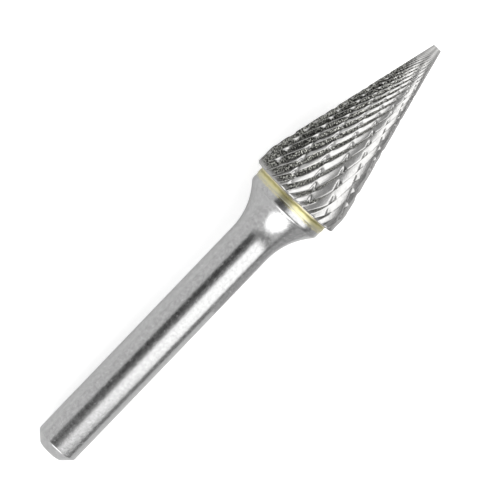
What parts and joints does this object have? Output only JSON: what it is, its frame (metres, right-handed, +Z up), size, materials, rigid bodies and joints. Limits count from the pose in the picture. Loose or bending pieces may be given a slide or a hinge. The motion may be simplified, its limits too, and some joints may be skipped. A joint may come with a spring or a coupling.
{
  "type": "carbide burr",
  "caption": "Pointed cone rotary burr with helical cutting teeth and chip breakers on a plain round shank.",
  "frame": {"origin": "centre of the bounding box on the floor that the tool lies on", "axes": "+X along the lying tool towards the tip of the head, +Z up from the floor"},
  "size_m": [0.07, 0.0126, 0.0128],
  "materials": {
    "shank_steel": "ground and lightly polished steel",
    "braze": "pale yellow solder, as flowed",
    "carbide": "ground tungsten carbide, fine grinding lines across the tooth spaces"
  },
  "bodies": {
    "root": {"shank": "shank_steel", "braze_joint": "braze", "cutting_head": "carbide"}
  },
  "joints": []
}
